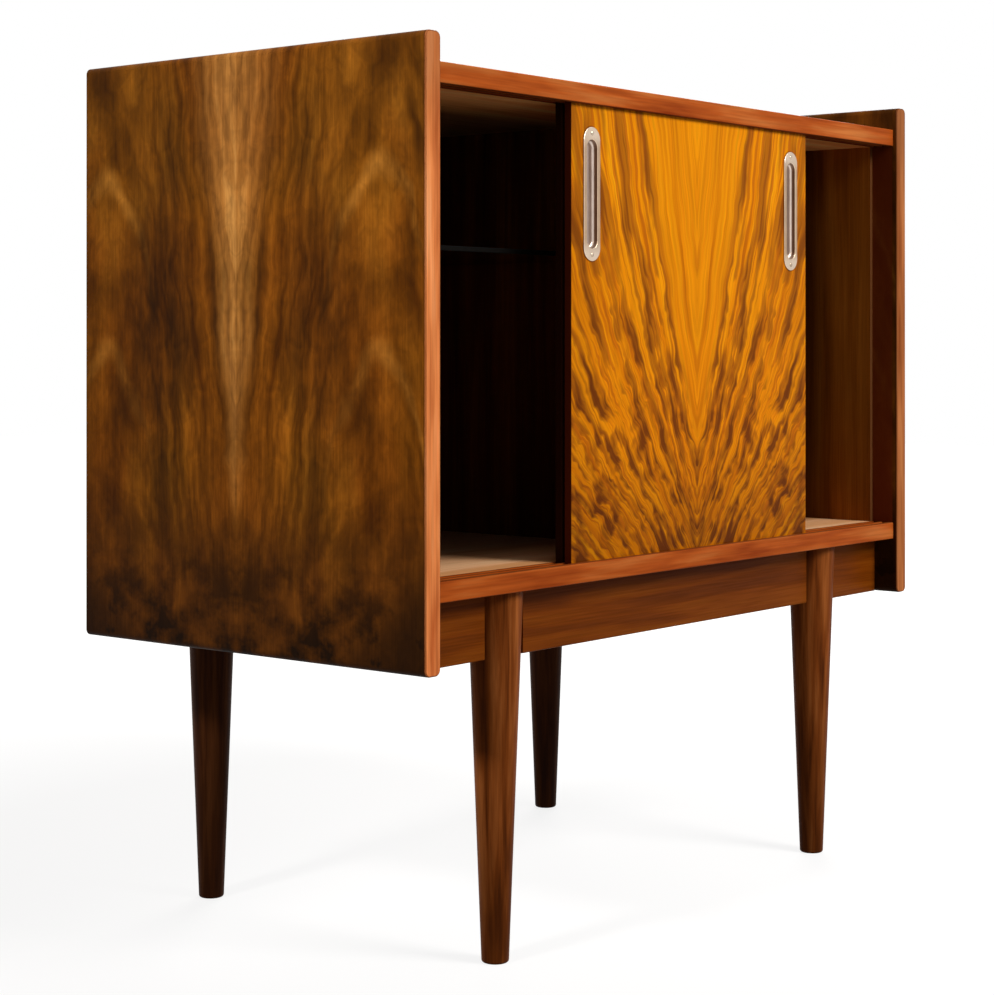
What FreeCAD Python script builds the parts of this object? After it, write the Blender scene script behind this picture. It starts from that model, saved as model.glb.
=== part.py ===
"""A cellarette: a bar cabinet with two sliding doors on four turned legs.

Millimetres. X runs to the right, Y to the back and Z up. The origin is on the ground, under the middle of the
cabinet. The doors stand as in use, both slid to the middle, so that each bay shows at its outer end.
"""
import FreeCAD
import Part
import Sketcher
import math
import os
import re

Vector = FreeCAD.Vector
ALONG_X = FreeCAD.Rotation(Vector(0, 1, 0), 90)
ALONG_Y = FreeCAD.Rotation(Vector(1, 0, 0), -90)
ALONG_Z = FreeCAD.Rotation()

SIZES = {
    # The whole, and the two side panels that hold it together
    "cabinet_width": 850,
    "cabinet_depth": 444,
    "cabinet_height": 842,
    "side_height": 560,
    "side_thickness": 20,
    "side_rounding": 6,
    "side_lipping_depth": 6,
    "edge_rounding": 1.2,
    # Top and bottom boards, with a solid strip in front that holds the door grooves
    "board_thickness": 19,
    "board_setback": 5,
    "top_drop": 25,
    "track_depth": 27,
    "lower_groove": 5,
    "upper_groove": 11,
    "groove_clearance": 0.3,
    # Sliding doors
    "door_thickness": 8,
    "door_gap": 3,
    "door_setback": 6,
    "door_overlap": 38,
    "door_play": 0.3,
    "door_engagement": 5.5,
    "door_shift": 9,
    # Recessed pulls
    "pull_length": 128,
    "pull_width": 26,
    "pull_rim": 1.0,
    "pull_rim_width": 4.5,
    "pull_land": 12,
    "pull_wall": 0.8,
    "pull_depth": 5.8,
    "pull_clearance": 0.2,
    "trough_rounding": 2.5,
    "pull_inset": 32,
    "pull_drop": 85,
    "pin_diameter": 1.8,
    "pin_length": 6.5,
    "pin_head_diameter": 4.6,
    "pin_head_height": 0.8,
    # Bays
    "cheek_thickness": 5,
    "partition_thickness": 18,
    "back_thickness": 4,
    "rebate_depth": 6,
    "rebate_width": 8,
    "shelf_thickness": 5,
    "shelf_height": 293,
    "shelf_setback": 40,
    "shelf_clearance": 0.4,
    "shelf_pin_diameter": 5,
    "shelf_pin_seat": 12,
    "shelf_pin_reach": 8,
    "shelf_pin_inset": 45,
    "shelf_collar_diameter": 9,
    "shelf_collar": 1.2,
    # Apron and legs
    "rail_height": 62,
    "rail_thickness": 21,
    "rail_setback": 29.5,
    "rail_back_setback": 16,
    "rail_dowel_inset": 58,
    "block_size": 22,
    "block_length": 70,
    "block_spread": 260,
    "leg_inset": 144,
    "leg_top_diameter": 52,
    "leg_foot_diameter": 25.5,
    "leg_foot_rounding": 2.5,
    "leg_clearance": 2,
    "leg_bolt_diameter": 8,
    "leg_bolt_depth": 35,
    "insert_diameter": 12,
    "insert_length": 14,
    # Dowels and nails
    "dowel_diameter": 8,
    "dowel_length": 32,
    "dowel_seat": 12,
    "dowel_spacing": 90,
    "nail_diameter": 1.6,
    "nail_length": 20,
    "nail_head_diameter": 4,
    "nail_head_height": 0.8,
    "nail_spacing": 120,
}
NAMES = re.compile(r"\b(" + "|".join(SIZES) + r")\b")

# Places that several pieces share, in the sheet's names
FRONT = "(-cabinet_depth / 2)"
BACK = "(cabinet_depth / 2)"
INNER_HALF = "(cabinet_width / 2 - side_thickness)"
SIDE_FOOT = "(cabinet_height - side_height)"
UNDERSIDE = f"({SIDE_FOOT} + rail_height)"
FLOOR = f"({UNDERSIDE} + board_thickness)"
TOP = "(cabinet_height - top_drop)"
CEILING = f"({TOP} - board_thickness)"
BAY_HEIGHT = f"({CEILING} - {FLOOR})"
BOARD_FRONT = f"({FRONT} + board_setback)"
BAY_FRONT = f"({BOARD_FRONT} + track_depth)"
BAY_BACK = f"({BACK} - rebate_depth)"
BAY_DEPTH = f"({BAY_BACK} - {BAY_FRONT})"
BAY_MIDDLE = f"(({BAY_FRONT} + {BAY_BACK}) / 2)"
CHEEK_FACE = f"({INNER_HALF} - cheek_thickness)"
FRONT_LEGS = f"({FRONT} + rail_setback + rail_thickness / 2)"
BACK_LEGS = f"({BACK} - rail_back_setback - rail_thickness / 2)"
LEG_AXIS = "(cabinet_width / 2 - leg_inset)"
RAIL_END = f"({LEG_AXIS} - leg_top_diameter / 2 - leg_clearance)"
STUB_END = f"({LEG_AXIS} + leg_top_diameter / 2 + leg_clearance)"
SHELF_UNDERSIDE = f"({FLOOR} + shelf_height)"
DOOR_WIDTH = f"({INNER_HALF} + door_overlap / 2)"
DOOR_FOOT = f"({FLOOR} - lower_groove + door_play)"
DOOR_HEIGHT = f"({CEILING} + door_engagement - {DOOR_FOOT})"
DOOR_FACE = {
    "front": f"({BOARD_FRONT} + door_setback)",
    "rear": f"({BOARD_FRONT} + door_setback + door_thickness + door_gap)",
}

doc = FreeCAD.newDocument("cellarette")
sheet = doc.addObject("Spreadsheet::Sheet", "Sizes")
for line, (size_name, size_value) in enumerate(SIZES.items(), start=1):
    sheet.set(f"A{line}", size_name)
    sheet.set(f"B{line}", str(size_value))
    sheet.setAlias(f"B{line}", size_name)
doc.recompute()

pieces = []


def tie(thing, path, text):
    """Binds a property to an expression written in the sheet's names."""
    thing.setExpression(path, NAMES.sub(r"Sizes.\1", text))


def place(thing, x, y, z, turn=ALONG_Z):
    thing.Placement = FreeCAD.Placement(Vector(), turn)
    tie(thing, "Placement.Base.x", x)
    tie(thing, "Placement.Base.y", y)
    tie(thing, "Placement.Base.z", z)


def keep(thing, label):
    """Gives a finished piece its name and puts it on the list that is written out."""
    thing.Label = label
    pieces.append(thing)
    return thing


def sketch_on(body, role, x="0", y="0", z="0"):
    """A sketch on one of the body's own planes, moved by x and y in that plane and by z along its normal."""
    sketch = body.newObject("Sketcher::SketchObject", body.Name + "_outline")
    plane = [feature for feature in body.Origin.OriginFeatures if feature.Role == role][0]
    sketch.AttachmentSupport = [(plane, "")]
    sketch.MapMode = "FlatFace"
    for axis, text in (("x", x), ("y", y), ("z", z)):
        tie(sketch, f"AttachmentOffset.Base.{axis}", text)
    return sketch


def constrain(sketch, text, *terms):
    """A sized constraint, bound to an expression. The start value only has to be positive."""
    index = sketch.addConstraint(Sketcher.Constraint(*terms, 10.0))
    tie(sketch, f"Constraints[{index}]", text)


def polygon(sketch, points):
    """Closed straight-sided outline through rough points, the first of them at the sketch's origin."""
    corners = [Vector(x, y, 0) for x, y in points]
    count = len(corners)
    for n in range(count):
        sketch.addGeometry(Part.LineSegment(corners[n], corners[(n + 1) % count]))
    for n in range(count):
        sketch.addConstraint(Sketcher.Constraint("Coincident", n, 2, (n + 1) % count, 1))
    sketch.addConstraint(Sketcher.Constraint("Coincident", 0, 1, -1, 1))


def rectangle(sketch, width, height):
    polygon(sketch, [(0, 0), (10, 0), (10, 10), (0, 10)])
    for n, direction in enumerate(("Horizontal", "Vertical", "Horizontal", "Vertical")):
        sketch.addConstraint(Sketcher.Constraint(direction, n))
    constrain(sketch, width, "DistanceX", 0, 1, 0, 2)
    constrain(sketch, height, "DistanceY", 1, 1, 1, 2)


def stadium(sketch, length, width):
    """An upright slot with round ends, its middle at the sketch's origin."""
    half, reach = 5, 15
    low = Part.ArcOfCircle(Part.Circle(Vector(0, -reach, 0), Vector(0, 0, 1), half), math.pi, 2 * math.pi)
    high = Part.ArcOfCircle(Part.Circle(Vector(0, reach, 0), Vector(0, 0, 1), half), 0, math.pi)
    sketch.addGeometry(Part.LineSegment(Vector(half, -reach, 0), Vector(half, reach, 0)))
    sketch.addGeometry(high)
    sketch.addGeometry(Part.LineSegment(Vector(-half, reach, 0), Vector(-half, -reach, 0)))
    sketch.addGeometry(low)
    for n in range(4):
        sketch.addConstraint(Sketcher.Constraint("Tangent", n, 2, (n + 1) % 4, 1))
    sketch.addConstraint(Sketcher.Constraint("Equal", 1, 3))
    sketch.addConstraint(Sketcher.Constraint("Symmetric", 1, 3, 3, 3, -1, 1))
    sketch.addConstraint(Sketcher.Constraint("PointOnObject", 1, 3, -2))
    constrain(sketch, f"({length}) - ({width})", "DistanceY", 3, 3, 1, 3)
    constrain(sketch, f"({width}) / 2", "Radius", 1)


def pad(body, sketch, length, backward=False):
    feature = body.newObject("PartDesign::Pad", body.Name + "_pad")
    feature.Profile = sketch
    feature.Reversed = backward
    tie(feature, "Length", length)


def pocket(body, sketch, depth, forward=False):
    """Cuts against the sketch plane's normal, or along it, and makes sure that something was cut."""
    doc.recompute()
    before = body.Shape.Volume
    feature = body.newObject("PartDesign::Pocket", body.Name + "_pocket")
    feature.Profile = sketch
    feature.Reversed = forward
    tie(feature, "Length", depth)
    doc.recompute()
    if not feature.Shape.Volume < before:
        raise RuntimeError(f"{feature.Name} cuts nothing")


def rounded(body, radius, wanted):
    """Rounds the edges of the body for which wanted(edge) holds."""
    doc.recompute()
    last = body.Tip
    edges = [f"Edge{n}" for n, edge in enumerate(last.Shape.Edges, start=1) if wanted(edge)]
    fillet = body.newObject("PartDesign::Fillet", body.Name + "_rounding")
    fillet.Base = (last, edges)
    tie(fillet, "Radius", radius)


def runs_along(edge, axis):
    """True for a straight edge parallel to a unit vector."""
    if not isinstance(edge.Curve, Part.Line):
        return False
    return abs(abs(edge.tangentAt(edge.FirstParameter) * axis) - 1) < 1e-6


def plank(name, size, corner):
    """A board of the given width, depth and height, with its low front left corner at corner."""
    width, depth, height = size
    body = doc.addObject("PartDesign::Body", name)
    outline = sketch_on(body, "XY_Plane")
    rectangle(outline, width, depth)
    pad(body, outline, height)
    place(body, *corner)
    return body


def rod(diameter, length, x, y, z, turn=ALONG_Z):
    cylinder = doc.addObject("Part::Cylinder", "rod")
    tie(cylinder, "Radius", f"{diameter} / 2")
    tie(cylinder, "Height", length)
    place(cylinder, x, y, z, turn)
    return cylinder


def joined(*parts):
    fused = doc.addObject("Part::MultiFuse", "joined")
    fused.Shapes = list(parts)
    return fused


def group(label, members):
    """Like fasteners, each a solid of its own, under one name."""
    compound = doc.addObject("Part::Compound", label)
    compound.Links = members
    return keep(compound, label)


def fitted(label, blank, mates):
    """The blank, cut out where its mates go into it."""
    for mate in mates:
        cut = doc.addObject("Part::Cut", label + "_fitted")
        cut.Base = blank
        cut.Tool = mate
        blank = cut
    return keep(blank, label)


# Dowels that join boards, side panels and partition

dowels = []
for height in (f"{TOP} - board_thickness / 2", f"{FLOOR} - board_thickness / 2"):
    for k in range(4):
        along = f"{BAY_MIDDLE} + ({k} - 1.5) * dowel_spacing"
        for start in (f"-{INNER_HALF} - dowel_seat", f"{INNER_HALF} + dowel_seat - dowel_length"):
            dowels.append(rod("dowel_diameter", "dowel_length", start, along, height, ALONG_X))
for start in (f"{FLOOR} - dowel_seat", f"{CEILING} + dowel_seat - dowel_length"):
    for k in range(3):
        along = f"{BAY_MIDDLE} + ({k} - 1) * dowel_spacing"
        dowels.append(rod("dowel_diameter", "dowel_length", "0", along, start))
carcass_dowels = group("carcass_dowels", dowels)

# Dowels that stand in the apron rails and reach into the bottom board

STUB_MIDDLE = f"(({INNER_HALF} + {STUB_END}) / 2)"
RAIL_DOWEL_GAP = f"(2 * ({RAIL_END} - rail_dowel_inset) / 3)"
rail_dowel_places = [f"({k} - 1.5) * {RAIL_DOWEL_GAP}" for k in range(4)] + [f"-{STUB_MIDDLE}", STUB_MIDDLE]
rail_dowels = group("rail_dowels", [
    rod("dowel_diameter", "dowel_length", x, y, f"{UNDERSIDE} + dowel_seat - dowel_length")
    for y in (FRONT_LEGS, BACK_LEGS) for x in rail_dowel_places])

# The legs' bolts, and the threaded inserts that they screw into

leg_places = {
    "front_left": (f"-{LEG_AXIS}", FRONT_LEGS),
    "front_right": (LEG_AXIS, FRONT_LEGS),
    "back_left": (f"-{LEG_AXIS}", BACK_LEGS),
    "back_right": (LEG_AXIS, BACK_LEGS),
}
leg_bolts = group("leg_bolts", [
    rod("leg_bolt_diameter", "leg_bolt_depth + insert_length", x, y, f"{UNDERSIDE} - leg_bolt_depth")
    for x, y in leg_places.values()])
sleeves = []
for x, y in leg_places.values():
    sleeve = doc.addObject("Part::Cut", "sleeve")
    sleeve.Base = rod("insert_diameter", "insert_length", x, y, UNDERSIDE)
    sleeve.Tool = rod("leg_bolt_diameter", "insert_length", x, y, UNDERSIDE)
    sleeves.append(sleeve)
leg_inserts = group("leg_inserts", sleeves)

# Turned pins with a collar, which carry the glass shelf from the left cheek and the partition

SHELF_LEFT = f"(-{CHEEK_FACE})"
SHELF_RIGHT = "(-partition_thickness / 2)"
SHELF_FRONT = f"({BAY_FRONT} + shelf_setback)"
pins = []
for y in (f"{SHELF_FRONT} + shelf_pin_inset", f"{BAY_BACK} - shelf_pin_inset"):
    for start, collar in (
            (f"{SHELF_LEFT} - shelf_pin_seat", SHELF_LEFT),
            (f"{SHELF_RIGHT} - shelf_pin_reach", f"{SHELF_RIGHT} - shelf_collar")):
        axis = f"{SHELF_UNDERSIDE} - shelf_pin_diameter / 2"
        pins.append(joined(
            rod("shelf_pin_diameter", "shelf_pin_seat + shelf_pin_reach", start, y, axis, ALONG_X),
            rod("shelf_collar_diameter", "shelf_collar", collar, y, axis, ALONG_X)))
shelf_pins = group("shelf_pins", pins)

# Nails through the back panel into the boards, the partition and the side panels

NAIL_TIP = f"({BAY_BACK} + back_thickness - nail_length)"
NAIL_EDGE = f"({INNER_HALF} + rebate_width / 2)"
board_edges = (f"{TOP} - board_thickness / 2", f"{FLOOR} - board_thickness / 2")
nail_places = [(f"({k} - 3) * nail_spacing", z) for z in board_edges for k in range(7)]
uprights = [f"{FLOOR} + {BAY_HEIGHT} / 2 + ({k} - 1) * nail_spacing" for k in range(3)]
nail_places += [(x, z) for x in (f"-{NAIL_EDGE}", "0", NAIL_EDGE) for z in uprights]
back_nails = group("back_nails", [
    joined(rod("nail_diameter", "nail_length", x, NAIL_TIP, z, ALONG_Y),
           rod("nail_head_diameter", "nail_head_height", x, f"{NAIL_TIP} + nail_length", z, ALONG_Y))
    for x, z in nail_places])

# Side panels with rounded ends, a rebate for the back, and a solid lipping in front

rebate = doc.addObject("Part::Box", "back_rebate")
tie(rebate, "Length", f"2 * ({INNER_HALF} + rebate_width)")
tie(rebate, "Width", "rebate_depth")
tie(rebate, "Height", f"{TOP} - {UNDERSIDE}")
place(rebate, f"-{INNER_HALF} - rebate_width", BAY_BACK, UNDERSIDE)

for side, corner in (("left", "-cabinet_width / 2"), ("right", INNER_HALF)):
    blank = plank(f"side_blank_{side}",
                  ("side_thickness", "cabinet_depth - side_lipping_depth", "side_height"),
                  (corner, f"{FRONT} + side_lipping_depth", SIDE_FOOT))
    rounded(blank, "side_rounding", lambda edge: runs_along(edge, Vector(0, 1, 0)))
    mates = [rebate, carcass_dowels, back_nails]
    if side == "left":
        mates.append(shelf_pins)
    fitted(f"side_panel_{side}", blank, mates)

    strip = plank(f"side_lipping_{side}", ("side_thickness", "side_lipping_depth", "side_height"),
                  (corner, FRONT, SIDE_FOOT))
    rounded(strip, "side_rounding", lambda edge: runs_along(edge, Vector(0, 1, 0)))
    rounded(strip, "edge_rounding", lambda edge: edge.BoundBox.YMax < 1e-6)
    keep(strip, f"side_lipping_{side}")

# Top and bottom boards

OPENING = f"2 * {INNER_HALF}"
for label, low, mates in (
        ("top_board", CEILING, [carcass_dowels, back_nails]),
        ("bottom_board", UNDERSIDE, [carcass_dowels, back_nails, rail_dowels, leg_bolts, leg_inserts])):
    blank = plank(f"{label}_blank", (OPENING, BAY_DEPTH, "board_thickness"),
                  (f"-{INNER_HALF}", BAY_FRONT, low))
    fitted(label, blank, mates)

# Their solid front strips, each with a groove for either door

for label, low, groove, plane_height, upward in (
        ("top_lipping", CEILING, "upper_groove", "0", True),
        ("bottom_lipping", UNDERSIDE, "lower_groove", "board_thickness", False)):
    strip = plank(label, (OPENING, "track_depth", "board_thickness"), (f"-{INNER_HALF}", BOARD_FRONT, low))
    rounded(strip, "edge_rounding",
            lambda edge: runs_along(edge, Vector(1, 0, 0)) and edge.BoundBox.YMax < 1e-6)
    for door_face in DOOR_FACE.values():
        groove_edge = f"{door_face} - groove_clearance - {BOARD_FRONT}"
        outline = sketch_on(strip, "XY_Plane", y=groove_edge, z=plane_height)
        rectangle(outline, OPENING, "door_thickness + 2 * groove_clearance")
        pocket(strip, outline, groove, forward=upward)
    keep(strip, label)

# Back panel, partition, cheeks and glass shelf

back_size = (f"2 * ({INNER_HALF} + rebate_width)", "back_thickness", f"{TOP} - {UNDERSIDE}")
back_blank = plank("back_blank", back_size, (f"-{INNER_HALF} - rebate_width", BAY_BACK, UNDERSIDE))
fitted("back_panel", back_blank, [back_nails])

partition_blank = plank("partition_blank", ("partition_thickness", BAY_DEPTH, BAY_HEIGHT),
                        ("-partition_thickness / 2", BAY_FRONT, FLOOR))
fitted("partition", partition_blank, [carcass_dowels, back_nails, shelf_pins])

CHEEK_SIZE = ("cheek_thickness", BAY_DEPTH, BAY_HEIGHT)
left_cheek_blank = plank("left_cheek_blank", CHEEK_SIZE, (f"-{INNER_HALF}", BAY_FRONT, FLOOR))
fitted("cheek_left", left_cheek_blank, [shelf_pins])
keep(plank("cheek_right", CHEEK_SIZE, (CHEEK_FACE, BAY_FRONT, FLOOR)), "cheek_right")

SHELF_MARGIN = "(shelf_collar + shelf_clearance)"
shelf = plank("glass_shelf",
              (f"{SHELF_RIGHT} - {SHELF_LEFT} - 2 * {SHELF_MARGIN}",
               f"{BAY_DEPTH} - shelf_setback - shelf_clearance", "shelf_thickness"),
              (f"{SHELF_LEFT} + {SHELF_MARGIN}", SHELF_FRONT, SHELF_UNDERSIDE))
rounded(shelf, "edge_rounding", lambda edge: edge.BoundBox.YMax < 1e-6)
keep(shelf, "glass_shelf")

# Apron: a long rail and two short ones in front, and the same behind, with a leg in each gap

spans = {"": (f"-{RAIL_END}", f"2 * {RAIL_END}"),
         "_left": (f"-{INNER_HALF}", f"{INNER_HALF} - {STUB_END}"),
         "_right": (STUB_END, f"{INNER_HALF} - {STUB_END}")}
for row, axis in (("front", FRONT_LEGS), ("back", BACK_LEGS)):
    for suffix, (start, length) in spans.items():
        label = f"{row}_rail{suffix}"
        blank = plank(f"{label}_blank", (length, "rail_thickness", "rail_height"),
                      (start, f"{axis} - rail_thickness / 2", SIDE_FOOT))
        rounded(blank, "edge_rounding",
                lambda edge: runs_along(edge, Vector(1, 0, 0)) and edge.BoundBox.ZMax < 1e-6)
        fitted(label, blank, [rail_dowels])

# Glue blocks in the corner between the long rails and the bottom board

blocks = []
for y in (f"{FRONT_LEGS} + rail_thickness / 2", f"{BACK_LEGS} - rail_thickness / 2 - block_size"):
    for side in (-1, 1):
        block = plank("block", ("block_length", "block_size", "block_size"),
                      (f"{side} * block_spread / 2 - block_length / 2", y, f"{UNDERSIDE} - block_size"))
        blocks.append(block)
group("rail_blocks", blocks)

# Turned legs, a straight taper from the bottom board to a softened foot

for corner, (x, y) in leg_places.items():
    body = doc.addObject("PartDesign::Body", f"leg_blank_{corner}")
    profile = sketch_on(body, "XZ_Plane")
    polygon(profile, [(0, 0), (10, 0), (20, 50), (0, 50)])
    for n, direction in ((0, "Horizontal"), (2, "Horizontal"), (3, "Vertical")):
        profile.addConstraint(Sketcher.Constraint(direction, n))
    constrain(profile, "leg_foot_diameter / 2", "DistanceX", 0, 1, 0, 2)
    constrain(profile, "leg_top_diameter / 2", "DistanceX", 2, 2, 2, 1)
    constrain(profile, UNDERSIDE, "DistanceY", 3, 2, 3, 1)
    turned = body.newObject("PartDesign::Revolution", body.Name + "_turned")
    turned.Profile = profile
    turned.ReferenceAxis = (profile, ["V_Axis"])
    turned.Angle = 360
    rounded(body, "leg_foot_rounding", lambda edge: edge.BoundBox.ZMax < 1e-6)
    place(body, x, y, "0")
    fitted(f"leg_{corner}", body, [leg_bolts])

# Sliding doors. A pressed metal pull is let into the door near each upright edge and held by two pins

TROUGH_LENGTH = "(pull_length - 2 * pull_land)"
TROUGH_WIDTH = "(pull_width - 2 * pull_rim_width)"
PULL_HEIGHT = f"({CEILING} - pull_drop)"
PULL_ENDS = ("(pull_length / 2 - pull_land / 2)", "(pull_land / 2 - pull_length / 2)")
for row, face in DOOR_FACE.items():
    left_edge = f"(door_shift - {DOOR_WIDTH} / 2)"
    insets = {"left": "pull_inset", "right": f"({DOOR_WIDTH} - pull_inset)"}

    rim_face = f"{face} - pull_rim"
    door_pins = []
    for inset in insets.values():
        for end in PULL_ENDS:
            x, z = f"{left_edge} + {inset}", f"{PULL_HEIGHT} + {end}"
            head = doc.addObject("Part::Cone", "pin_head")
            tie(head, "Radius1", "pin_diameter / 2")
            tie(head, "Radius2", "pin_head_diameter / 2")
            tie(head, "Height", "pin_head_height")
            place(head, x, f"{rim_face} - pin_head_height", z, ALONG_Y)
            door_pins.append(joined(head, rod("pin_diameter", "pin_length", x, rim_face, z, ALONG_Y)))
    pull_pins = group(f"{row}_pull_pins", door_pins)

    panel = plank(f"{row}_door_blank", (DOOR_WIDTH, "door_thickness", DOOR_HEIGHT),
                  (left_edge, face, DOOR_FOOT))
    rounded(panel, "edge_rounding / 2", lambda edge: runs_along(edge, Vector(0, 0, 1)))
    for inset in insets.values():
        recess = sketch_on(panel, "XZ_Plane", x=inset, y=f"{PULL_HEIGHT} - {DOOR_FOOT}")
        stadium(recess, f"{TROUGH_LENGTH} + 2 * pull_wall + 2 * pull_clearance",
                f"{TROUGH_WIDTH} + 2 * pull_wall + 2 * pull_clearance")
        pocket(panel, recess, "pull_depth + pull_clearance")
    fitted(f"{row}_door_panel", panel, [pull_pins])

    for side, inset in insets.items():
        pull = doc.addObject("PartDesign::Body", f"{row}_pull_blank_{side}")
        rim = sketch_on(pull, "XZ_Plane")
        stadium(rim, "pull_length", "pull_width")
        pad(pull, rim, "pull_rim")
        cup = sketch_on(pull, "XZ_Plane")
        stadium(cup, f"{TROUGH_LENGTH} + 2 * pull_wall", f"{TROUGH_WIDTH} + 2 * pull_wall")
        pad(pull, cup, "pull_depth", backward=True)
        trough = sketch_on(pull, "XZ_Plane", z="pull_rim")
        stadium(trough, TROUGH_LENGTH, TROUGH_WIDTH)
        pocket(pull, trough, "pull_rim + pull_depth - pull_wall")
        front, floor = -SIZES["pull_rim"], SIZES["pull_depth"] - SIZES["pull_wall"]
        rounded(pull, "trough_rounding", lambda edge: abs(edge.BoundBox.Center.y - floor) < 1e-3)
        rounded(pull, "pull_rim / 2", lambda edge: edge.BoundBox.YMax < front + 1e-3)
        place(pull, f"{left_edge} + {inset}", face, PULL_HEIGHT)
        fitted(f"{row}_pull_{side}", pull, [pull_pins])

doc.recompute()

for thing in doc.Objects:
    if "Invalid" in thing.State or "Error" in thing.State:
        raise RuntimeError(f"{thing.Label} failed: {thing.State}")
    if thing.TypeId == "Part::Cut" and not thing.Shape.Volume < thing.Base.Shape.Volume:
        raise RuntimeError(f"{thing.Label} cuts nothing")

os.makedirs("parts", exist_ok=True)
for piece in pieces:
    if piece.Shape.isNull() or not piece.Shape.isValid():
        raise RuntimeError(f"{piece.Label} has no valid shape")
for piece in pieces:
    piece.Shape.exportStep(f"parts/{piece.Label}.step")
    print(f"{piece.Label}: {len(piece.Shape.Solids)} solids, {piece.Shape.Volume:.0f} mm3")
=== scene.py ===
"""A cellarette with sliding doors, dressed around its CAD frame. Metres, Z up, front towards -Y."""
import math

import bmesh
import bpy
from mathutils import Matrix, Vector


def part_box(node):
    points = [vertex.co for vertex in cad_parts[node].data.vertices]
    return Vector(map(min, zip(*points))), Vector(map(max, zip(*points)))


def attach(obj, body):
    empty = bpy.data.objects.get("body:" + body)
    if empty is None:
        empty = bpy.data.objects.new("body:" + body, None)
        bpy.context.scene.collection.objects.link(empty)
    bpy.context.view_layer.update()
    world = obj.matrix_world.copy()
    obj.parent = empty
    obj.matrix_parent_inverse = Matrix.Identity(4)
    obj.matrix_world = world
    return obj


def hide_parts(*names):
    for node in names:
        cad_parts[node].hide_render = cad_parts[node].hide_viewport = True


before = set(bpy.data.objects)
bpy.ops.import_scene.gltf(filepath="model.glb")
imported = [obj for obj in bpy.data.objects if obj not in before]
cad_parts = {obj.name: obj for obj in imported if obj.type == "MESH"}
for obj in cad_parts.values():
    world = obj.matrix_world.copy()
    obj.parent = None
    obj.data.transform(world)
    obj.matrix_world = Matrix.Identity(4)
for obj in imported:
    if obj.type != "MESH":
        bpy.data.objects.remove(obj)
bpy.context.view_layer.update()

# Side panels. Two boards that stand on edge and carry all the rest between them, dowelled to the top
# and the bottom board. Blockboard under walnut veneer, two leaves opened like a book about the middle
# of each face, with a satin lacquer.


def to_linear(hex_colour):
    """An sRGB hex colour as the linear colour that a socket takes."""
    channels = [int(hex_colour[at:at + 2], 16) / 255 for at in (1, 3, 5)]
    return [c / 12.92 if c <= 0.04045 else ((c + 0.055) / 1.055) ** 2.4 for c in channels] + [1.0]


def add(tree, kind, links=None, stops=(), **settings):
    """Adds a node with its settings. A shader node goes by its type without the prefix. Each entry of
    links is a value, or a node or socket to link from."""
    whole_type = kind.startswith(("Geometry", "Function", "NodeGroup"))
    node = tree.nodes.new(kind if whole_type else f"ShaderNode{kind}")
    for name, value in settings.items():
        setattr(node, name, value)
    for name, value in (links or {}).items():
        shown = [socket for socket in node.inputs if socket.enabled]
        socket = shown[name] if isinstance(name, int) else next(s for s in shown if s.name == name)
        if isinstance(value, bpy.types.Node):
            value = next(s for s in value.outputs if s.enabled)
        if isinstance(value, bpy.types.NodeSocket):
            tree.links.new(value, socket)
        else:
            socket.default_value = value
    for number, (place, colour) in enumerate(stops):
        ramp = node.color_ramp.elements
        stop = ramp[number] if number < 2 else ramp.new(place)
        stop.position = place
        stop.color = to_linear(colour)
    return node


def new_finish(name):
    """An empty material, its tree, and the place on the piece that its patterns are laid out by."""
    material = bpy.data.materials.new(name)
    material.use_nodes = True
    tree = material.node_tree
    tree.nodes.clear()
    return material, tree, add(tree, "TexCoord").outputs["Object"]


def dress(material, *nodes):
    """Puts a finish on CAD nodes."""
    for node in nodes:
        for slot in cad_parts[node].material_slots:
            slot.material = material


def grain(tree, place, per_metre, shift=(0.0, 0.0, 0.0), **sockets):
    """An uneven grain: noise with so many lumps to the metre along each axis."""
    laid = add(tree, "Mapping", {"Vector": place, "Location": shift, "Scale": per_metre})
    return add(tree, "TexNoise", {"Vector": laid, "Scale": 1.0, **sockets})


def book_leaf(tree, across, height, seam, sill, sway, seed):
    """The place on one leaf of a book-matched face, in metres from the seam and the sill, with a slow
    sway laid over it. Gives the swayed place and the plain one."""
    from_seam = add(tree, "Math", {0: across, 1: seam}, operation="SUBTRACT")
    leaf = add(tree, "Math", {0: from_seam}, operation="ABSOLUTE")
    rise = add(tree, "Math", {0: height, 1: sill}, operation="SUBTRACT")
    plain = add(tree, "CombineXYZ", {"X": leaf, "Y": rise, "Z": seed})
    drift = add(tree, "TexNoise", {"Vector": plain, "Scale": 16.0, "Detail": 2.0})
    centred = add(tree, "VectorMath", {0: drift.outputs["Color"], 1: (0.5, 0.5, 0.5)},
                  operation="SUBTRACT")
    swayed = add(tree, "VectorMath", {0: centred, 1: (sway, sway, 0.0), 2: plain},
                 operation="MULTIPLY_ADD")
    return add(tree, "SeparateXYZ", {0: swayed}), plain


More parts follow.
